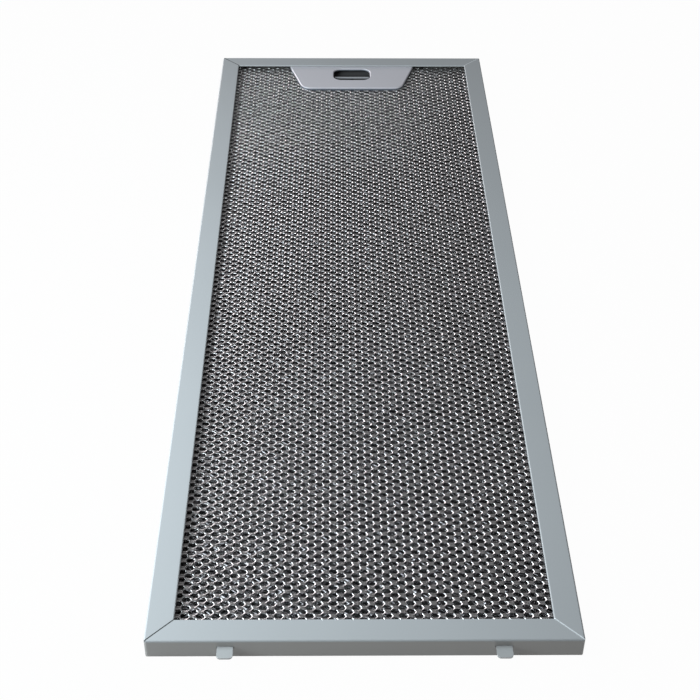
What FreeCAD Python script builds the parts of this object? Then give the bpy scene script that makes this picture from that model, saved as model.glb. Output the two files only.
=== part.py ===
import FreeCAD, Part
import math
import os
from FreeCAD import Vector

# A cooker hood grease filter, lying on its back with the face that the cook sees upwards.
# X runs across, Y runs along towards the latch end, Z is up. The origin is the middle of the
# back face, and all sizes are millimetres.

# Frame: one strip, formed to a C channel with hemmed inner edges and folded round four sides
frame_width = 180.0
frame_length = 520.0
frame_depth = 10.0
strip_sheet = 0.6
flange_width = 11.5
flange_bend = 0.75           # outer radius between web and flange
hem_return = 4.0             # how far the hem goes back under the flange
corner_bend = 1.2            # outer radius of the folded corners
mitre_gap = 0.2              # open seam between two flanges at a corner
closing_tongue_length = 12.0
closing_tongue_height = 5.0
closing_tongue_gap = 0.1

# Hook tabs: two bent tongues that stand out of the near web
tab_width = 6.6
tab_reach = 6.0
tab_sheet = 0.8
tab_drop = 3.4               # from the front face down to the tongue
tab_inset = 33.0             # from the frame's side to the tongue's middle
tab_corner = 1.6
tab_bend = 0.3               # inner radius between tongue and leg
tab_leg_width = 14.0
tab_slot_play = 0.1

# Mesh: five expanded sheets, packed on top of each other
layer_count = 5
layer_gap = 0.06
mesh_foil = 0.35
mesh_edge_gap = 1.1          # from the pack's edge to the web
face_pitch_across = 38.0     # front and back sheet
face_row_pitch = 16.4
face_knuckle = 16.0
face_strand = 9.4
core_pitch_across = 52.0     # the three sheets between them
core_row_pitch = 29.0
core_knuckle = 26.0
core_strand = 15.5
notch_gap = 0.5              # from a cut sheet to the piece that stands in the cut

# Handle plate: a pressed trapezoid that tucks under the far flange
plate_root_width = 85.5
plate_tip_width = 67.0
plate_reach = 31.0
plate_sheet = 0.8
plate_corner = 7.0
plate_edge_bevel = 0.6
plate_proud = 0.7            # above the front mesh
slot_width = 25.0
slot_length = 16.0
slot_margin = 3.0            # from the far flange to the slot
slot_corner = 5.4
slot_collar = 1.2            # depth of the drawn rim
slot_edge_bevel = 0.5

# Latch: a sprung slide in a channel under the plate
latch_travel = 6.0
slide_sheet = 1.0
slide_width = 34.0
slide_bend = 0.5
bolt_reach = 6.0
bolt_width = 22.0
bolt_drop = 4.0              # from the front face down to the bolt
bolt_corner = 1.5
bolt_bevel = 0.6
ramp_length = 5.0
lip_width = 23.4
lip_drop = 1.4               # from the plate's face down to the lip's edge
housing_sheet = 0.6
housing_bend = 0.2
housing_flange = 6.0
spring_sheet = 0.4
spring_bend = 1.5
spring_heel = 11.0           # from the centre line to the bend at each foot
spring_foot = 4.0
spring_edge_gap = 0.9        # from the lip's edge down to the leaf

# Clearances
seat_gap = 0.02              # pieces that lie on each other
slide_gap = 0.1              # pieces that slide along each other
guide_gap = 0.2              # each side of the slide
stop_gap = 0.2               # left at the end of the latch's travel
assembly_gap = 0.4           # pieces that only stand near each other

# Levels worked out from the sizes
half_width = frame_width / 2
half_length = frame_length / 2
web_inside = half_length - strip_sheet
far_flange_edge = half_length - flange_width
front_hem_under = frame_depth - 2 * strip_sheet
back_hem_top = 2 * strip_sheet
plate_top = front_hem_under - seat_gap
plate_under = plate_top - plate_sheet
plate_near = far_flange_edge - plate_reach
plate_far = web_inside - assembly_gap
pack_bottom = back_hem_top + seat_gap
layer_pitch = (plate_top - plate_proud - pack_bottom) / layer_count
front_layer_bottom = pack_bottom + (layer_count - 1) * layer_pitch
slot_far = far_flange_edge - slot_margin
slot_near = slot_far - slot_length
housing_near = plate_near + plate_sheet + assembly_gap
housing_bottom = pack_bottom + layer_pitch
housing_floor = housing_bottom + housing_sheet
housing_half = slide_width / 2 + guide_gap
slide_bottom = housing_floor + slide_gap
lip_near = slot_near + latch_travel + stop_gap
lip_top = plate_top - lip_drop
bolt_top = frame_depth - bolt_drop
tab_top = frame_depth - tab_drop
tab_middle = half_width - tab_inset


def plan_point(x, y):
    return Vector(x, y, 0)


def polygon_face(points):
    return Part.Face(Part.makePolygon(points + points[:1]))


def box_between(low, high):
    size = high - low
    return Part.makeBox(size.x, size.y, size.z, low)


def vertical_edges(shape):
    found = []
    for edge in shape.Edges:
        box = edge.BoundBox
        if box.XLength + box.YLength < 1e-6:
            found.append(edge)
    return found


def rounded_slab(width, near, far, corner, bottom, top):
    slab = box_between(Vector(-width / 2, near, bottom), Vector(width / 2, far, top))
    return slab.makeFillet(corner, vertical_edges(slab))


def side_line(start, end, offset):
    """The straight run from start to end, moved sideways by offset."""
    along = (end - start).normalize()
    across = FreeCAD.Rotation(Vector(1, 0, 0), 90).multVec(along)
    return start + across * offset, end + across * offset


def bent_strip(route, sheet, inner_bend, width):
    """A strip of sheet bent along a route in the YZ plane, centred on X = 0.

    The route is the strip's middle line with sharp corners, and each corner is bent
    to the inner radius.
    """
    middle_bend = inner_bend + sheet / 2
    runs = []
    bends = []
    start = route[0]
    for before, corner, after in zip(route, route[1:], route[2:]):
        back = (before - corner).normalize()
        ahead = (after - corner).normalize()
        half_angle = back.getAngle(ahead) / 2
        setback = middle_bend / math.tan(half_angle)
        inward = (back + ahead).normalize()
        centre = corner + inward * (middle_bend / math.sin(half_angle))
        runs.append((start, corner + back * setback))
        bends.append((centre, inward))
        start = corner + ahead * setback
    runs.append((start, route[-1]))

    sides = []
    for offset in (sheet / 2, -sheet / 2):
        edges = []
        lines = [side_line(a, b, offset) for a, b in runs]
        for index, (a, b) in enumerate(lines):
            edges.append(Part.LineSegment(a, b).toShape())
            if index < len(bends):
                centre, inward = bends[index]
                through = centre - inward * (b - centre).Length
                edges.append(Part.Arc(b, through, lines[index + 1][0]).toShape())
        sides.append((edges, lines[0][0], lines[-1][1]))
    (left, left_start, left_end), (right, right_start, right_end) = sides
    caps = [Part.LineSegment(left_start, right_start).toShape(),
            Part.LineSegment(left_end, right_end).toShape()]
    outline = Part.Wire(Part.__sortEdges__(left + right + caps))
    strip = Part.Face(outline).extrude(Vector(width, 0, 0))
    return strip.translate(Vector(-width / 2, 0, 0))


def rail_section():
    """Section of the C channel at X = 0: Y is inwards from the outer face."""
    sheet = strip_sheet
    bend = flange_bend
    nose = flange_width - sheet
    hem_end = flange_width - hem_return
    turn = math.sqrt(0.5)

    def at(y, z):
        return Vector(0, y, z)

    def flange_edges(level, up):
        """One flange from the web to the hem and back, on the side that up points to."""
        outer_turn = at(bend - bend * turn, level - up * (bend - bend * turn))
        inner = bend - sheet
        inner_turn = at(bend - inner * turn, level - up * (bend - inner * turn))
        web_outside = at(0, level - up * bend)
        web_inside_point = at(sheet, level - up * bend)
        top_start = at(bend, level)
        top_end = at(nose, level)
        nose_tip = at(flange_width, level - up * sheet)
        hem_start = at(nose, level - up * 2 * sheet)
        hem_stop = at(hem_end, level - up * 2 * sheet)
        step = at(hem_end, level - up * sheet)
        under_end = at(bend, level - up * sheet)
        return [Part.Arc(web_outside, outer_turn, top_start).toShape(),
                Part.LineSegment(top_start, top_end).toShape(),
                Part.Arc(top_end, nose_tip, hem_start).toShape(),
                Part.LineSegment(hem_start, hem_stop).toShape(),
                Part.LineSegment(hem_stop, step).toShape(),
                Part.LineSegment(step, under_end).toShape(),
                Part.Arc(under_end, inner_turn, web_inside_point).toShape()]

    webs = [Part.LineSegment(at(y, bend), at(y, frame_depth - bend)).toShape() for y in (0, sheet)]
    edges = flange_edges(frame_depth, 1) + flange_edges(0, -1) + webs
    return Part.Face(Part.Wire(Part.__sortEdges__(edges)))


def rail(length):
    """One side of the frame with mitred ends, its outer face on Y = 0 and Y inwards."""
    setback = mitre_gap * math.sqrt(0.5)
    deep = flange_width + 1
    long_half = length / 2 - setback
    short_half = long_half - deep
    channel = rail_section().extrude(Vector(length, 0, 0))
    channel.translate(Vector(-length / 2, 0, 0))
    wedge = polygon_face([plan_point(-long_half, 0), plan_point(long_half, 0),
                          plan_point(short_half, deep), plan_point(-short_half, deep)])
    return channel.common(wedge.extrude(Vector(0, 0, frame_depth)))


def corner_fold(x_side, y_side):
    """The bent web that joins two rails at a corner, clear of the flange bends."""
    reach = 2 * corner_bend
    low = flange_bend
    high = frame_depth - flange_bend
    tube = rounded_slab(frame_width, -half_length, half_length, corner_bend, low, high)
    inner_bend = max(corner_bend - strip_sheet, strip_sheet / 4)
    hollow = rounded_slab(frame_width - 2 * strip_sheet, -web_inside, web_inside, inner_bend, low, high)
    x_edge = x_side * half_width
    y_edge = y_side * half_length
    window = box_between(Vector(min(x_edge, x_edge - x_side * reach), min(y_edge, y_edge - y_side * reach), low),
                         Vector(max(x_edge, x_edge - x_side * reach), max(y_edge, y_edge - y_side * reach), high))
    return tube.cut(hollow).common(window)


def closing_tongue():
    """The strip's free end, bent round the near left corner and laid inside the left web."""
    outer = -half_width + strip_sheet + closing_tongue_gap
    middle = frame_depth / 2
    return box_between(
        Vector(outer, -half_length + strip_sheet / 2, middle - closing_tongue_height / 2),
        Vector(outer + strip_sheet, -web_inside + closing_tongue_length, middle + closing_tongue_height / 2))


def web_slot(x, width, y_side, bottom, top):
    """A block that cuts a slot through the near or the far web."""
    middle = y_side * (half_length - strip_sheet / 2)
    return box_between(Vector(x - width / 2, middle - strip_sheet, bottom),
                       Vector(x + width / 2, middle + strip_sheet, top))


def make_frame():
    sides = [(frame_width, half_length, 0), (frame_length, half_width, 90),
             (frame_width, half_length, 180), (frame_length, half_width, 270)]
    rails = []
    for length, distance, turn in sides:
        side = rail(length)
        side.translate(Vector(0, -distance, 0))
        side.rotate(Vector(0, 0, 0), Vector(0, 0, 1), turn)
        rails.append(side)
    envelope = rounded_slab(frame_width, -half_length, half_length, corner_bend, 0, frame_depth)
    folds = [corner_fold(1, -1), corner_fold(1, 1), corner_fold(-1, 1)]
    ring = Part.makeCompound(rails).common(envelope)
    ring = ring.Solids[0].fuse(ring.Solids[1:] + folds + [closing_tongue()])
    tab_slot_width = tab_width + 2 * assembly_gap
    tab_slot_bottom = tab_top - tab_sheet - tab_bend - tab_slot_play
    slots = [web_slot(side * tab_middle, tab_slot_width, -1, tab_slot_bottom, tab_top + tab_slot_play)
             for side in (-1, 1)]
    bolt_slot_play = slide_gap + guide_gap
    slots.append(web_slot(0, bolt_width + 2 * assembly_gap, 1,
                          bolt_top - slide_sheet - bolt_slot_play, bolt_top + bolt_slot_play))
    return ring.cut(slots).removeSplitter()


def make_hook_tab(side):
    """A tongue through the near web, with a wide leg trapped between web and mesh."""
    middle_level = tab_top - tab_sheet / 2
    leg_middle = -web_inside + seat_gap + tab_sheet / 2
    tip = -half_length - tab_reach
    route = [Vector(0, tip, middle_level), Vector(0, leg_middle, middle_level),
             Vector(0, leg_middle, pack_bottom)]
    tab = bent_strip(route, tab_sheet, tab_bend, tab_leg_width)
    waist = -web_inside + seat_gap
    for x_side in (-1, 1):
        inner = x_side * tab_width / 2
        outer = x_side * tab_leg_width
        tab = tab.cut(box_between(Vector(min(inner, outer), tip - 1, 0),
                                  Vector(max(inner, outer), waist, frame_depth)))
    corners = [edge for edge in vertical_edges(tab) if edge.BoundBox.YMin < tip + 1e-6]
    tab = tab.makeFillet(tab_corner, corners)
    return tab.translate(Vector(side * tab_middle, 0, 0))


def expanded_sheet(level, pitch_across, row_pitch, knuckle, strand, cut_out, first_ridge):
    """An expanded sheet: ridges along X, with a staggered row of lozenge gaps on each ridge.

    first_ridge is 1 where the first ridge is a crest and 0 where it is a valley.
    """
    half_x = half_width - strip_sheet - mesh_edge_gap
    half_y = web_inside - mesh_edge_gap
    crest = level + layer_pitch - layer_gap
    valley = level + mesh_foil
    columns = int((frame_width - 2 * flange_width) // pitch_across)
    rows = int((frame_length - 2 * flange_width) // row_pitch)
    ridges = [(row - (rows - 1) / 2) * row_pitch for row in range(rows)]

    top = [Vector(0, -half_y, (crest + valley) / 2)]
    for row, y in enumerate(ridges):
        top.append(Vector(0, y, crest if (row + first_ridge) % 2 else valley))
    top.append(Vector(0, half_y, (crest + valley) / 2))
    under = [point - Vector(0, 0, mesh_foil) for point in reversed(top)]
    sheet = polygon_face(top + under).extrude(Vector(2 * half_x, 0, 0))
    sheet.translate(Vector(-half_x, 0, 0))

    gap_half_x = (pitch_across - knuckle) / 2
    gap_half_y = row_pitch - strand
    cuts = []
    for row, y in enumerate(ridges):
        in_row = columns - row % 2
        for column in range(in_row):
            x = (column - (in_row - 1) / 2) * pitch_across
            lozenge = polygon_face([Vector(x - gap_half_x, y, level), Vector(x, y - gap_half_y, level),
                                    Vector(x + gap_half_x, y, level), Vector(x, y + gap_half_y, level)])
            gap = lozenge.extrude(Vector(0, 0, layer_pitch))
            if cut_out is None or not meets(gap, cut_out, strand):
                cuts.append(gap)
    if cut_out is not None:
        cuts.append(cut_out)
    return sheet.cut(cuts)


def meets(gap, cut_out, margin):
    """Whether a gap comes within the margin of the box round a cut-out."""
    box = FreeCAD.BoundBox(cut_out.BoundBox)
    box.enlarge(margin)
    return box.intersect(gap.BoundBox)


def plate_outline(grow):
    """The plate's trapezoid with rounded near corners, grown outwards by a distance.

    Its far end, under the flange, is open: a shrunk outline runs out there too.
    """
    root = plate_root_width / 2
    tip = plate_tip_width / 2
    slope = (root - tip) / plate_reach
    side_grow = grow * math.hypot(1, slope)
    near = plate_near - grow
    near_half = tip - slope * grow + side_grow
    root_half = root + side_grow
    far = plate_far + abs(grow)
    corners = [plan_point(-near_half, near), plan_point(near_half, near),
               plan_point(root_half, far_flange_edge), plan_point(root_half, far),
               plan_point(-root_half, far), plan_point(-root_half, far_flange_edge)]
    slab = polygon_face(corners).extrude(Vector(0, 0, frame_depth))
    near_edges = [edge for edge in vertical_edges(slab) if edge.BoundBox.YMax < near + 1e-6]
    return slab.makeFillet(plate_corner + grow, near_edges)


def plate_slab(grow, bottom, top):
    """The plate's outline as a slab between two levels."""
    cover = box_between(Vector(-frame_width, plate_near - frame_width, bottom),
                        Vector(frame_width, half_length + frame_width, top))
    return plate_outline(grow).common(cover)


def top_edges(shape, level):
    """Edges that lie flat at a level, without the far one under the flange."""
    found = []
    for edge in shape.Edges:
        box = edge.BoundBox
        flat = abs(box.ZMin - level) < 1e-6 and abs(box.ZMax - level) < 1e-6
        if flat and box.YMin < plate_far - 1e-6:
            found.append(edge)
    return found


def make_handle_plate():
    """A pressed plate: bevelled edge, turned-down rim, and a finger slot with a drawn collar."""
    rim_bottom = front_layer_bottom + slide_gap
    shell = plate_slab(0, rim_bottom, plate_top)
    shell = shell.makeChamfer(plate_edge_bevel, top_edges(shell, plate_top))
    shell = shell.cut(plate_slab(-plate_sheet, rim_bottom, plate_under))
    collar_bottom = plate_top - slot_collar
    collar = rounded_slab(slot_width + 2 * plate_sheet, slot_near - plate_sheet, slot_far + plate_sheet,
                          slot_corner + plate_sheet, collar_bottom, plate_top - plate_sheet / 2)
    slot = rounded_slab(slot_width, slot_near, slot_far, slot_corner, collar_bottom, plate_top)
    plate = shell.fuse(collar).cut(slot).removeSplitter()
    mouth = []
    for edge in top_edges(plate, plate_top):
        if edge.BoundBox.YMax < slot_far + 1e-6 and edge.BoundBox.YMin > slot_near - 1e-6:
            mouth.append(edge)
    return plate.makeChamfer(slot_edge_bevel, mouth)


def make_latch_housing():
    """A hat channel along Y with a closed near end, its flanges under the plate."""
    wall = housing_half + housing_sheet / 2
    flange_end = wall + housing_flange
    floor = housing_bottom + housing_sheet / 2
    flange = plate_under - housing_sheet / 2
    route = [Vector(0, -flange_end, flange), Vector(0, -wall, flange), Vector(0, -wall, floor),
             Vector(0, wall, floor), Vector(0, wall, flange), Vector(0, flange_end, flange)]
    length = plate_far - housing_near
    channel = bent_strip(route, housing_sheet, housing_bend, length)
    channel.rotate(Vector(0, 0, 0), Vector(0, 0, 1), 90)
    channel.translate(Vector(0, housing_near + length / 2, 0))
    end_wall = box_between(Vector(-wall, housing_near, housing_bottom + housing_sheet / 2),
                           Vector(wall, housing_near + housing_sheet, plate_under))
    return channel.fuse(end_wall).removeSplitter()


def make_latch_slide():
    """A bent strip: finger lip, base in the channel, ramp, and the bolt through the far web."""
    base_middle = slide_bottom + slide_sheet / 2
    bolt_middle = bolt_top - slide_sheet / 2
    lip_middle = lip_near + slide_sheet / 2
    shoulder = web_inside - slide_gap
    bolt_end = half_length + bolt_reach
    route = [Vector(0, lip_middle, lip_top), Vector(0, lip_middle, base_middle),
             Vector(0, slot_far, base_middle), Vector(0, slot_far + ramp_length, bolt_middle),
             Vector(0, bolt_end, bolt_middle)]
    slide = bent_strip(route, slide_sheet, slide_bend, slide_width)
    lip_foot = slide_bottom + slide_sheet + slide_bend
    for x_side in (-1, 1):
        outer = x_side * slide_width
        bolt_side = x_side * bolt_width / 2
        lip_side = x_side * lip_width / 2
        slide = slide.cut(box_between(Vector(min(bolt_side, outer), shoulder, 0),
                                      Vector(max(bolt_side, outer), bolt_end + 1, frame_depth)))
        slide = slide.cut(box_between(Vector(min(lip_side, outer), lip_near - 1, lip_foot),
                                      Vector(max(lip_side, outer), lip_near + 2 * slide_sheet, frame_depth)))
    corners = [edge for edge in vertical_edges(slide) if edge.BoundBox.YMin > bolt_end - 1e-6]
    slide = slide.makeFillet(bolt_corner, corners)
    bevel_low = bolt_top - slide_sheet
    bevel = polygon_face([Vector(-slide_width, bolt_end + 1, bevel_low - 1),
                          Vector(-slide_width, bolt_end + 1, bevel_low + bolt_bevel),
                          Vector(-slide_width, bolt_end, bevel_low + bolt_bevel),
                          Vector(-slide_width, bolt_end - 2 * bolt_bevel, bevel_low),
                          Vector(-slide_width, bolt_end - 2 * bolt_bevel, bevel_low - 1)])
    slide = slide.cut(bevel.extrude(Vector(2 * slide_width, 0, 0)))
    lip_edges = []
    for edge in slide.Edges:
        box = edge.BoundBox
        if box.ZMin > lip_top - 1e-6 and box.XLength > slide_sheet:
            lip_edges.append(edge)
    return slide.makeFillet(slide_sheet * 0.45, lip_edges)


def make_latch_spring():
    """A bent leaf: its two feet bear on the channel's end wall and its crown on the lip."""
    foot = housing_near + housing_sheet + slide_gap + spring_sheet / 2
    crown = lip_near - slide_gap - spring_sheet / 2
    bend = spring_bend + spring_sheet / 2
    bend_centre = crown - bend
    reach = math.hypot(spring_heel, bend_centre - foot)
    leg_angle = math.atan2(bend_centre - foot, spring_heel) + math.asin(bend / reach)
    apex = foot + spring_heel * math.tan(leg_angle)
    toe = spring_heel + spring_foot
    route = [Vector(0, -toe, foot), Vector(0, -spring_heel, foot), Vector(0, 0, apex),
             Vector(0, spring_heel, foot), Vector(0, toe, foot)]
    bottom = housing_floor + slide_gap
    top = lip_top - spring_edge_gap
    leaf = bent_strip(route, spring_sheet, spring_bend, top - bottom)
    leaf.rotate(Vector(0, 0, 0), Vector(1, 1, 1), -120)
    return leaf.translate(Vector(0, 0, (top + bottom) / 2))


def layer_level(index):
    return pack_bottom + index * layer_pitch


plate_cut = plate_slab(notch_gap, 0, frame_depth)
housing_cut_half = housing_half + housing_sheet + notch_gap
housing_cut = box_between(Vector(-housing_cut_half, housing_near - notch_gap, 0),
                          Vector(housing_cut_half, half_length, frame_depth))
face_cell = (face_pitch_across, face_row_pitch, face_knuckle, face_strand)
core_cell = (core_pitch_across, core_row_pitch, core_knuckle, core_strand)

shapes = {
    "frame": make_frame(),
    "front_mesh": expanded_sheet(layer_level(layer_count - 1), *face_cell, plate_cut, 1),
    "back_mesh": expanded_sheet(layer_level(0), *face_cell, None, 0),
    "handle_plate": make_handle_plate(),
    "latch_housing": make_latch_housing(),
    "latch_slide": make_latch_slide(),
    "latch_spring": make_latch_spring(),
    "hook_tab_left": make_hook_tab(-1),
    "hook_tab_right": make_hook_tab(1),
}
for index in range(1, layer_count - 1):
    core = expanded_sheet(layer_level(index), *core_cell, housing_cut, index % 2)
    shapes["core_mesh_%d" % index] = core

os.makedirs("parts", exist_ok=True)
for name, shape in shapes.items():
    solid = shape.Solids[0] if len(shape.Solids) == 1 else shape
    solid.exportStep("parts/%s.step" % name)
    print(name, len(shape.Solids), "solid", shape.isValid(), round(shape.Volume, 1), "mm3")
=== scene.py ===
import math

import bmesh
import bpy
from mathutils import Matrix, Vector


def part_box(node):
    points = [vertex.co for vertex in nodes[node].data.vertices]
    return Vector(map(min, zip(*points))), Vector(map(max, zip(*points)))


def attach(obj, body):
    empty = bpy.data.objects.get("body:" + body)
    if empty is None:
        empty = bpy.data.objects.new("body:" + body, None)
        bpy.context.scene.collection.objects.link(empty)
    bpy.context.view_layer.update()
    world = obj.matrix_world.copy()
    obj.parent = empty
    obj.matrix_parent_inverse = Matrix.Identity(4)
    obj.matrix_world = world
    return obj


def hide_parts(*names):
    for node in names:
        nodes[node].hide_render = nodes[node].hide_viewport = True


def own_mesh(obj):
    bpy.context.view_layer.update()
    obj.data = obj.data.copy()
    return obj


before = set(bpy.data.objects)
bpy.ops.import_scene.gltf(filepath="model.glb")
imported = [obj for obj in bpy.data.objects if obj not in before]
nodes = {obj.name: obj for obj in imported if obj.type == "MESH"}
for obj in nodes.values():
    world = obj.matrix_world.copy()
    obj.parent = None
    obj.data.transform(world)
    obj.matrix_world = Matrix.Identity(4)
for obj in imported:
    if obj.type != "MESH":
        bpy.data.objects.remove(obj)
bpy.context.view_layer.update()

print("frame loaded:", len(nodes), "nodes")


# Shader values that add and multiply like numbers
class Shade:
    def __init__(self, tree, socket=None):
        self.tree = tree
        self.socket = socket

    def node(self, kind, settings=None, inputs=None, output=0):
        made = self.tree.nodes.new(kind)
        for key, value in (settings or {}).items():
            if key == "stops":
                ramp = made.color_ramp
                while len(ramp.elements) < len(value):
                    ramp.elements.new(0.5)
                for element, (place, colour) in zip(ramp.elements, value):
                    element.position = place
                    element.color = colour
            else:
                setattr(made, key, value)
        for key, value in (inputs or {}).items():
            if isinstance(value, Shade):
                self.tree.links.new(value.socket, made.inputs[key])
            else:
                made.inputs[key].default_value = value
        return Shade(self.tree, made.outputs[output] if made.outputs else None)

    def calc(self, operation, first, second=0.0):
        return self.node("ShaderNodeMath", {"operation": operation}, {0: first, 1: second})

    def __add__(self, other):
        return self.calc("ADD", self, other)

    def __sub__(self, other):
        return self.calc("SUBTRACT", self, other)

    def __rsub__(self, other):
        return self.calc("SUBTRACT", other, self)

    def __mul__(self, other):
        return self.calc("MULTIPLY", self, other)

    __radd__ = __add__
    __rmul__ = __mul__


# A grey that loses red and gains blue where it is cool, and gains both where it has a blush
def grey(level, cool=0.0, blush=0.0):
    return (level * (1 - cool + blush), level, level * (1 + cool + blush), 1.0)


def newMaterial(name):
    material = bpy.data.materials.new(name)
    material.use_nodes = True
    material.node_tree.nodes.clear()
    return material, Shade(material.node_tree)


def split(start, place, axes):
    return [start.node("ShaderNodeSeparateXYZ", None, {"Vector": place}, axis) for axis in axes]


grainDetail = {"fine": 3.0, "patch": 2.0}


# Grain of a metal surface: a fine speckle and slow patches, both centred on zero
def metalGrain(start, fineScale, patchScale):
    place = start.node("ShaderNodeTexCoord", output="Object")
    fine = start.node("ShaderNodeTexNoise", None, {
        "Vector": place, "Scale": fineScale, "Detail": grainDetail["fine"]})
    patch = start.node("ShaderNodeTexNoise", None, {
        "Vector": place, "Scale": patchScale, "Detail": grainDetail["patch"]})
    return place, fine - 0.5, patch - 0.5


# How far a point is from the middle of the nearest hole of an expanded sheet, 1 at the hole's edge
def holeReach(start, place, cell, rim):
    across, along = split(start, place, "XY")
    across = across * (1 / cell["longPitch"]) - cell["shift"] / cell["longPitch"]
    along = along * (1 / cell["shortPitch"]) + rim["lean"] / cell["shortPitch"]
    reaches = []
    for offsetX, offsetY in ((0.0, 0.5), (0.5, 0.0)):
        total = 0.0
        for value, pitch, half in ((across + offsetX, cell["longPitch"], rim["halfLength"]),
                                   (along + offsetY, cell["shortPitch"], rim["halfHeight"])):
            off = start.calc("FRACT", value) - 0.5
            away = start.calc("ABSOLUTE", off) * (pitch / half)
            total = start.calc("POWER", away, rim["roundness"]) + total
        reaches.append(total)
    return start.calc("MINIMUM", reaches[0], reaches[1])


# Rises smoothly from 0 at the low value to 1 at the high one
def soften(start, value, low, high):
    return start.node("ShaderNodeMapRange", {"interpolation_type": "SMOOTHSTEP"}, {
        "Value": value, "From Min": low, "From Max": high})


# A colour multiplied by a tint, by the share given
def tinted(start, colour, share, tint):
    return start.node("ShaderNodeMix", {"data_type": "RGBA", "blend_type": "MULTIPLY"}, {
        0: share, 6: colour, 7: tint}, 2)


# Painted shade: a darkening tint that is full below the low height and gone above the high one, and that
# stops at the far end
def paintedShadeBelow(low, high, tint, farEnd=1.0, farFade=0.0005):
    def paintedLight(start, place, colour):
        along, height = split(start, place, "YZ")
        below = 1 - soften(start, height, low, high)
        before = 1 - soften(start, along, farEnd - farFade, farEnd)
        return tinted(start, colour, below * before, tint)
    return paintedLight


# The open mitre seams of the front flanges: painted shade on the left seam and a painted highlight on the
# right one
def paintedSeamLight(seam):
    def paintedLight(start, place, colour):
        across, along, height = split(start, place, "XYZ")
        off = start.calc("ABSOLUTE", across) - start.calc("ABSOLUTE", along) + seam["lengthOver"]
        away = start.calc("ABSOLUTE", off)
        onSeam = 1 - soften(start, away, seam["core"], seam["edge"])
        share = onSeam * soften(start, height, *seam["levels"])
        rightSide = soften(start, across, -seam["middle"], seam["middle"])
        tone = rightSide * (seam["right"] - seam["left"]) + seam["left"]
        return tinted(start, colour, share, tone)
    return paintedLight


def metalMaterial(name, look, cell=None):
    material, start = newMaterial(name)
    place, fine, patch = metalGrain(start, look["fineScale"], look["patchScale"])
    tone = patch * look["patchTone"] + fine * look["fineTone"] + 0.5
    stops = [(0.0, look["dark"]), (1.0, look["light"])]
    colour = start.node("ShaderNodeValToRGB", {"stops": stops}, {"Fac": tone})
    # Painted shade and painted highlights laid over the base colour
    for paintedLight in look.get("paintedLight", []):
        colour = paintedLight(start, place, colour)
    roughness = patch * look["patchRough"] + fine * look["fineRough"] + look["roughness"]
    bump = start.node("ShaderNodeBump", None, {
        "Strength": look["bump"], "Distance": look["bumpDepth"], "Height": fine})
    if cell:
        rim = look["rim"]
        height = soften(start, holeReach(start, place, cell, rim), rim["inside"], rim["outside"])
        bump = start.node("ShaderNodeBump", None, {
            "Strength": 1.0, "Distance": rim["depth"], "Height": height, "Normal": bump})
    shader = start.node("ShaderNodeBsdfPrincipled", None, {
        "Base Color": colour, "Roughness": roughness, "Metallic": look["metallic"], "Normal": bump})
    start.node("ShaderNodeOutputMaterial", None, {"Surface": shader})
    return material


# Bonds and strands of the two outer sheets
frontCell = {
    "longPitch": 0.0065, "shortPitch": 0.00445, "bondLength": 0.0025, "strandWidth": 0.00095,
    "tilt": 2.0, "swell": 0.00006, "foil": 0.0004, "weld": 0.00002,
    "unevenness": 0.00007, "seed": 3, "shift": 0.0, "smoothAngle": 60.0,
}
# Mitre seams of the frame, with painted shade on the left and a painted highlight on the right
seamLightLook = {
    "lengthOver": 0.17,         # half the frame's length less half its width
    "core": 0.00028, "edge": 0.00055, "levels": (0.0092, 0.0097),
    # left darkens its seam as painted shade, right doubles the colour of its seam as a painted highlight
    "left": 0.22, "right": 2.0, "middle": 0.01,
}
# Satin strip of the frame; painted shade makes its web darker and warmer than the top, and its seams
# carry painted shade and a painted highlight
frameLook = {
    "dark": grey(0.41, 0.03), "light": grey(0.46, 0.03), "metallic": 0.04, "roughness": 0.38,
    "fineScale": 1800.0, "patchScale": 14.0, "patchTone": 0.5, "fineTone": 0.35,
    "patchRough": 0.10, "fineRough": 0.08, "bump": 0.10, "bumpDepth": 0.00004,
    "paintedLight": [paintedShadeBelow(0.0088, 0.0096, (0.98, 0.92, 0.86, 1.0)), paintedSeamLight(seamLightLook)],
}
# Pressed plate, a little warmer than the frame, with painted shade below its top face: inside its slot
# and on its turned-down rim
plateLook = {
    "dark": grey(0.61, 0.02, 0.05), "light": grey(0.67, 0.02, 0.05), "metallic": 0.2, "roughness": 0.42,
    "fineScale": 2200.0, "patchScale": 22.0, "patchTone": 0.5, "fineTone": 0.4,
    "patchRough": 0.10, "fineRough": 0.08, "bump": 0.10, "bumpDepth": 0.00004,
    "paintedLight": [paintedShadeBelow(0.0079, 0.0086, grey(0.3, 0.1))],
}
# Expanded foil, its strands rolled over at the edges of the holes
foilLook = {
    "dark": grey(0.62, -0.005, 0.015), "light": grey(0.84, -0.005, 0.015),
    "metallic": 1.0, "roughness": 0.28,
    "fineScale": 900.0, "patchScale": 40.0, "patchTone": 0.15, "fineTone": 0.5,
    "patchRough": 0.03, "fineRough": 0.12, "bump": 0.12, "bumpDepth": 0.00006,
    "rim": {"halfLength": 0.0020, "halfHeight": 0.0016, "roundness": 2.0, "inside": 0.9, "outside": 1.6,
            "lean": 0.00025, "depth": 0.00043},
}
# The inner layers: the same foil darkened as painted shade, and a little rougher
coreShadeLook = dict(foilLook, dark=grey(0.18, 0.0, 0.05), light=grey(0.28, 0.0, 0.05), roughness=0.3)
# Bright zinc on the tabs
zincLook = {
    "dark": grey(0.47, 0.01), "light": grey(0.55, 0.01), "metallic": 0.25, "roughness": 0.36,
    "fineScale": 2600.0, "patchScale": 90.0, "patchTone": 0.7, "fineTone": 0.4,
    "patchRough": 0.16, "fineRough": 0.10, "bump": 0.12, "bumpDepth": 0.00004,
}
# Dark spring steel
springLook = dict(zincLook, dark=grey(0.07, 0.04), light=grey(0.12, 0.04), metallic=1.0, roughness=0.3,
                  patchScale=120.0, bump=0.10)
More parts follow.
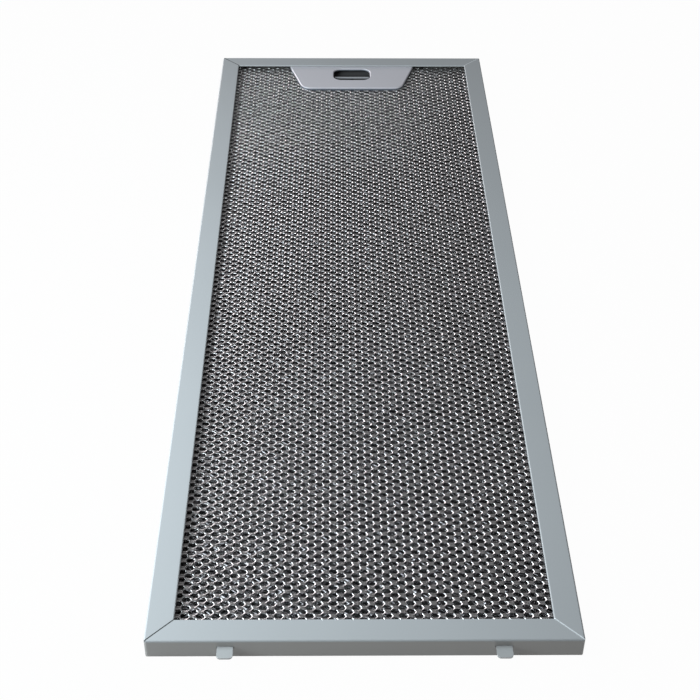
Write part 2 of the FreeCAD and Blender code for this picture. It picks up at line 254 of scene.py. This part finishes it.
# The latch and its channel: painted shade darkens the latch below the plate, short of its bolt at the far
# end, and the whole channel is a darker copy of the plate as painted shade
latchLook = dict(zincLook, dark=grey(0.36, 0.02, 0.03), light=grey(0.45, 0.02, 0.03),
                 paintedLight=[paintedShadeBelow(0.0061, 0.0067, grey(0.2, -0.03), farEnd=0.2592)])
channelShadeLook = dict(plateLook, dark=grey(0.12, -0.03), light=grey(0.20, -0.03), metallic=0.3)

frameMetal = metalMaterial("satinStrip", frameLook)
plateMetal = metalMaterial("pressedPlate", plateLook)
foilMetal = metalMaterial("expandedFoil", foilLook, frontCell)
coreShadeMetal = metalMaterial("innerFoilPaintedShade", coreShadeLook)
zincMetal = metalMaterial("brightZinc", zincLook)
latchMetal = metalMaterial("latchZinc", latchLook)
channelShadeMetal = metalMaterial("shadedChannel", channelShadeLook)
springMetal = metalMaterial("springSteel", springLook)

finishes = {
    "frame": frameMetal, "handle_plate": plateMetal,
    "latch_housing": channelShadeMetal, "latch_slide": latchMetal,
    "hook_tab_left": zincMetal, "hook_tab_right": zincMetal,
}
for nodeName, material in finishes.items():
    slots = nodes[nodeName].data.materials
    slots.clear()
    slots.append(material)
print("finishes on", len(finishes), "solids")


def clearSelection():
    if bpy.context.object and bpy.context.object.mode != "OBJECT":
        bpy.ops.object.mode_set(mode="OBJECT")
    bpy.ops.object.select_all(action="DESELECT")


# Selects what the test picks among the edit mesh's corners, edges or faces
def pick(kind, test):
    bpy.ops.mesh.select_mode(type={"verts": "VERT", "edges": "EDGE", "faces": "FACE"}[kind])
    bpy.ops.mesh.select_all(action="DESELECT")
    editMesh = bmesh.from_edit_mesh(bpy.context.object.data)
    for part in getattr(editMesh, kind):
        corners = [part] if kind == "verts" else part.verts
        middle = sum((corner.co for corner in corners), Vector()) / len(corners)
        if test(middle):
            part.select_set(True)
    editMesh.select_flush_mode()
    bmesh.update_edit_mesh(bpy.context.object.data)


def extrudeBy(step):
    bpy.ops.mesh.extrude_region_move(TRANSFORM_OT_translate={"value": step})


# Cuts the selected faces along a plane, and can drop what lies on the side that the normal points to
def trim(point, normal, drop=True):
    bpy.ops.mesh.bisect(plane_co=point, plane_no=normal, clear_outer=drop, use_fill=False)


def applyModifier(piece, kind, **settings):
    modifier = piece.modifiers.new(kind.lower(), kind)
    for key, value in settings.items():
        setattr(modifier, key, value)
    bpy.ops.object.modifier_apply(modifier=modifier.name)


windowSize = {
    "flangeWidth": 0.0115,
    "underFlange": 0.002,       # how far the fine sheets go on under the flange
}
plateSize = {
    "tipWidth": 0.067, "reach": 0.031, "cornerCut": 0.0035,
    "gap": 0.0004,              # from a cut sheet to the piece in the cut
    "margin": 0.01,             # how far before a cut-out the faces are cut too
}
frameLow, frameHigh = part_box("frame")
plateLow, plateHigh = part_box("handle_plate")
farFlangeEdge = frameHigh.y - windowSize["flangeWidth"]
windowHalfX = frameHigh.x - windowSize["flangeWidth"] + windowSize["underFlange"]
windowHalfY = farFlangeEdge + windowSize["underFlange"]


# One bond of an expanded sheet with the two strands that leave it, tilted up towards the far side
def makeBond(cell):
    width = cell["strandWidth"]
    bond = cell["bondLength"]
    tilt = math.radians(cell["tilt"])
    rise = Vector((0, math.cos(tilt), math.sin(tilt))) * width
    clearSelection()
    bpy.ops.mesh.primitive_plane_add(size=1.0, location=(0, 0, 0))
    bpy.ops.object.mode_set(mode="EDIT")
    bpy.ops.transform.resize(value=(bond, width, 1))
    bpy.ops.transform.translate(value=(0, width / 2, 0))
    pick("edges", lambda middle: abs(middle.y) < width / 4)
    extrudeBy((0, -width, 0))
    pick("edges", lambda middle: middle.length < width / 4)
    bpy.ops.mesh.dissolve_edges(use_verts=False)
    bpy.ops.mesh.select_mode(type="FACE")
    bpy.ops.mesh.select_all(action="SELECT")
    bpy.ops.mesh.poke(offset=cell["swell"])
    bpy.ops.mesh.select_all(action="SELECT")
    bpy.ops.transform.rotate(value=-tilt, orient_axis="X", center_override=(0, 0, 0))
    halfStep = Vector((cell["longPitch"] / 2 - bond, 0, 0))
    halfRow = Vector((0, cell["shortPitch"] / 2, 0))
    for side, step in ((1, halfStep + halfRow - rise), (-1, halfStep - halfRow + rise)):
        pick("edges", lambda middle: abs(middle.x - bond / 2) < bond / 8 and middle.y * side > width / 8)
        extrudeBy(step)
    return bpy.context.object


# The whole sheet: bonds in staggered rows, trimmed to the window and given its foil thickness
def makeSheet(name, nodeName, cell, notch, material):
    low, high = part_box(nodeName)
    sheet = makeBond(cell)
    sheet.name = name
    sheet.data.name = name
    bpy.ops.mesh.select_all(action="SELECT")
    bpy.ops.mesh.duplicate_move(TRANSFORM_OT_translate={
        "value": (cell["longPitch"] / 2, cell["shortPitch"] / 2, 0)})
    bpy.ops.object.mode_set(mode="OBJECT")
    columns = math.ceil(windowHalfX / cell["longPitch"]) + 1
    rows = math.ceil(windowHalfY / cell["shortPitch"]) + 1
    applyModifier(sheet, "ARRAY", count=2 * columns, use_relative_offset=False, use_constant_offset=True,
                  constant_offset_displace=(cell["longPitch"], 0, 0))
    applyModifier(sheet, "ARRAY", count=2 * rows, use_relative_offset=False, use_constant_offset=True,
                  constant_offset_displace=(0, cell["shortPitch"], 0))
    bpy.ops.object.mode_set(mode="EDIT")
    bpy.ops.mesh.select_all(action="SELECT")
    bpy.ops.mesh.remove_doubles(threshold=cell["weld"])
    bpy.ops.transform.translate(value=(cell["shift"] - columns * cell["longPitch"],
                                       -rows * cell["shortPitch"], (low.z + high.z) / 2))
    for normal in ((1, 0, 0), (-1, 0, 0), (0, 1, 0), (0, -1, 0)):
        bpy.ops.mesh.select_all(action="SELECT")
        trim((normal[0] * windowHalfX, normal[1] * windowHalfY, 0), normal)
    if notch:
        cutNotch(notch)
    bpy.ops.mesh.select_mode(type="VERT")
    bpy.ops.mesh.select_all(action="SELECT")
    bpy.ops.transform.vertex_random(offset=cell["unevenness"], uniform=0.0, normal=0.0, seed=cell["seed"])
    bpy.ops.object.mode_set(mode="OBJECT")
    applyModifier(sheet, "SOLIDIFY", thickness=cell["foil"], offset=0.0)
    bpy.ops.object.shade_smooth_by_angle(angle=math.radians(cell["smoothAngle"]))
    sheet.data.materials.append(material)
    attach(sheet, "filter")
    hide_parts(nodeName)
    sheet.data.calc_loop_triangles()
    print(name, "triangles:", len(sheet.data.loop_triangles))


# Planes round the plate's cut-out, each a point and the normal that points out of it
def plateNotch():
    gap = plateSize["gap"]
    near = farFlangeEdge - plateSize["reach"] - gap
    tip = plateSize["tipWidth"] / 2
    root = plateHigh.x
    lean = Vector((plateSize["reach"], tip - root, 0)).normalized()
    side = Vector((root, farFlangeEdge, 0)) + lean * gap
    planes = [(Vector((0, near, 0)), Vector((0, -1, 0)))]
    for mirror in (1, -1):
        outwards = Vector((lean.x * mirror, lean.y, 0))
        planes.append((Vector((side.x * mirror, side.y, 0)), outwards))
        diagonal = (outwards + Vector((0, -1, 0))).normalized()
        cornerPoint = Vector((mirror * tip, near, 0)) - diagonal * plateSize["cornerCut"]
        planes.append((cornerPoint, diagonal))
        planes.append((Vector((mirror * (root + gap), farFlangeEdge, 0)), Vector((mirror, 0, 0))))
    return planes


# The same round the latch's channel
def housingNotch():
    low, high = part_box("latch_housing")
    gap = plateSize["gap"]
    return [(Vector((0, low.y - gap, 0)), Vector((0, -1, 0))),
            (Vector((high.x + gap, 0, 0)), Vector((1, 0, 0))),
            (Vector((low.x - gap, 0, 0)), Vector((-1, 0, 0)))]


def cutNotch(planes):
    near = min(point.y for point, normal in planes)
    for point, normal in planes:
        pick("faces", lambda middle: middle.y > near - plateSize["margin"])
        trim(point, normal, drop=False)
    pick("faces", lambda middle: all((middle - point).dot(normal) < 0 for point, normal in planes))
    bpy.ops.mesh.delete(type="FACE")


# Wider cells of the three inner sheets, turned the other way in every second one
coreCell = {
    "longPitch": 0.0096, "shortPitch": 0.0062, "bondLength": 0.0019, "strandWidth": 0.0011,
    "tilt": -22.5, "swell": 0.0002, "foil": 0.0003, "weld": 0.00002,
    "unevenness": 0.00032, "seed": 5, "shift": 0.0021, "smoothAngle": 180.0,
}
backCell = dict(frontCell, seed=11, tilt=-frontCell["tilt"])
makeSheet("frontSheet", "front_mesh", frontCell, plateNotch(), foilMetal)
makeSheet("backSheet", "back_mesh", backCell, None, foilMetal)
for index in (1, 2, 3):
    turned = dict(coreCell, seed=coreCell["seed"] + index, shift=coreCell["shift"] * index)
    turned["tilt"] = coreCell["tilt"] * (1 if index % 2 else -1)
    makeSheet("coreSheet%d" % index, "core_mesh_%d" % index, turned, housingNotch(), coreShadeMetal)

# The bent leaf that pushes the latch out
leafSize = {
    "heel": 0.011, "foot": 0.004, "thickness": 0.0004, "bend": 0.0017, "bendSteps": 6,
    "keep": 0.628,              # share of its depth that is left when the latch is in
    "smoothAngle": 40.0,
}
leafLow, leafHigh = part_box("latch_spring")
heel, foot, bend = leafSize["heel"], leafSize["foot"], leafSize["bend"]
leafHeight = leafHigh.z - leafLow.z
leafMiddle = (leafLow.z + leafHigh.z) / 2
footY = leafLow.y + leafSize["thickness"] / 2
bendY = leafHigh.y - leafSize["thickness"] / 2 - bend
legAngle = math.atan2(bendY - footY, heel) + math.asin(bend / math.hypot(heel, bendY - footY))
legRise = heel * math.tan(legAngle)
clearSelection()
bpy.ops.mesh.primitive_plane_add(size=1.0, location=(0, 0, 0), rotation=(math.pi / 2, 0, 0))
leaf = bpy.context.object
leaf.name = "springLeaf"
leaf.data.name = "springLeaf"
bpy.ops.object.transform_apply(location=False, rotation=True, scale=False)
bpy.ops.object.mode_set(mode="EDIT")
bpy.ops.transform.resize(value=(foot, 1, leafHeight))
bpy.ops.transform.translate(value=(-heel - foot / 2, footY, leafMiddle))
endX = -heel
for step in ((heel, legRise, 0), (heel, -legRise, 0), (foot, 0, 0)):
    pick("edges", lambda middle: abs(middle.x - endX) < heel / 20)
    extrudeBy(step)
    endX = endX + step[0]
for foldX, turn in ((-heel, legAngle), (0.0, 2 * legAngle), (heel, legAngle)):
    pick("edges", lambda middle: abs(middle.x - foldX) < heel / 20)
    bpy.ops.mesh.bevel(offset=bend * math.tan(turn / 2), segments=leafSize["bendSteps"], affect="EDGES")
# Bring the crown to the depth of the solid
bpy.ops.object.mode_set(mode="OBJECT")
crownY = max(corner.co.y for corner in leaf.data.vertices)
stretch = (bendY + bend - footY) / (crownY - footY)
bpy.ops.object.mode_set(mode="EDIT")
bpy.ops.mesh.select_all(action="SELECT")
bpy.ops.transform.resize(value=(1, stretch, 1), center_override=(0, footY, 0))
bpy.ops.object.mode_set(mode="OBJECT")
applyModifier(leaf, "SOLIDIFY", thickness=leafSize["thickness"], offset=0.0)
bpy.ops.object.mode_set(mode="EDIT")
bpy.ops.mesh.select_all(action="SELECT")
bpy.ops.mesh.normals_make_consistent(inside=False)
bpy.ops.object.mode_set(mode="OBJECT")
bpy.ops.object.shade_smooth_by_angle(angle=math.radians(leafSize["smoothAngle"]))
leaf.data.materials.append(springMetal)
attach(leaf, "filter")
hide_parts("latch_spring")
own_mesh(leaf)
print("spring leaf crown", round(max(corner.co.y for corner in leaf.data.vertices), 5))

# Pale floor: white where it is seen, grey where it takes light and under the part
floorLook = {
    "size": 100.0, "colour": grey(0.36), "glow": 0.98,
    "underEdge": 0.002,         # how far inside the frame's edge the white ends
}
clearSelection()
bpy.ops.mesh.primitive_plane_add(size=floorLook["size"], location=(0, 0, 0))
floor = bpy.context.object
floor.name = "floor"
floorPaint, start = newMaterial("paleFloor")
diffuse = start.node("ShaderNodeBsdfDiffuse", None, {"Color": floorLook["colour"]})
glow = start.node("ShaderNodeEmission", None, {"Color": grey(1.0), "Strength": 1.0})
seen = start.node("ShaderNodeLightPath", output="Is Camera Ray")
mirrored = start.node("ShaderNodeLightPath", output="Is Glossy Ray")
through = start.node("ShaderNodeLightPath", output="Is Transmission Ray")
ground = start.node("ShaderNodeTexCoord", output="Object")
across, along = split(start, ground, "XY")
underX = start.calc("LESS_THAN", start.calc("ABSOLUTE", across), frameHigh.x - floorLook["underEdge"])
underY = start.calc("LESS_THAN", start.calc("ABSOLUTE", along), frameHigh.y - floorLook["underEdge"])
share = (seen + mirrored + through) * (1 - underX * underY) * floorLook["glow"]
mixed = start.node("ShaderNodeMixShader", None, {0: share, 1: diffuse, 2: glow})
start.node("ShaderNodeOutputMaterial", None, {"Surface": mixed})
floor.data.materials.append(floorPaint)
print("floor laid")

# Soft light: a box near the left side, a wide low one far off to the left, and an even room
lightSet = {
    "roomLevel": 0.18,
    "leftBox": {"place": Vector((-0.43, -0.20, 0.32)), "size": (0.40, 0.40),
                "power": 5.15, "colour": (0.88, 1.0, 1.05)},
    "farBox": {"place": Vector((-1.25, 1.75, 0.52)), "size": (1.9, 0.45),
               "power": 16.0, "colour": (1.06, 0.99, 1.0)},
}
world = bpy.data.worlds.new("room")
bpy.context.scene.world = world
world.use_nodes = True
world.node_tree.nodes.clear()
room = Shade(world.node_tree)
backdrop = room.node("ShaderNodeBackground", None, {
    "Color": grey(1.0), "Strength": lightSet["roomLevel"]})
room.node("ShaderNodeOutputWorld", None, {"Surface": backdrop})
for boxName in ("leftBox", "farBox"):
    boxSet = lightSet[boxName]
    clearSelection()
    bpy.ops.object.light_add(type="AREA", location=boxSet["place"])
    softBox = bpy.context.object
    softBox.name = boxName
    softBox.data.shape = "RECTANGLE"
    softBox.data.size, softBox.data.size_y = boxSet["size"]
    softBox.data.energy = boxSet["power"]
    softBox.data.color = boxSet["colour"]
    softBox.rotation_euler = (-boxSet["place"]).to_track_quat("-Z", "Y").to_euler()

# Camera, as the photograph was taken
cameraSet = {
    "place": Vector((-0.0125, -0.6212, 0.4482)), "lens": 70.33,
    "pitch": math.radians(38.496), "yaw": 0.015, "roll": -0.0085,
}
pitch, yaw, roll = cameraSet["pitch"], cameraSet["yaw"], cameraSet["roll"]
ahead = Vector((math.sin(yaw) * math.cos(pitch), math.cos(yaw) * math.cos(pitch), -math.sin(pitch)))
level = Vector((math.cos(yaw), -math.sin(yaw), 0))
down = ahead.cross(level)
right = level * math.cos(roll) + down * math.sin(roll)
down = down * math.cos(roll) - level * math.sin(roll)
clearSelection()
bpy.ops.object.camera_add(location=cameraSet["place"])
camera = bpy.context.object
camera.data.lens = cameraSet["lens"]
camera.rotation_euler = Matrix((right, -down, -ahead)).transposed().to_euler()
bpy.context.scene.camera = camera
bpy.context.scene.view_settings.view_transform = "Standard"
print("camera and light set")

clearSelection()
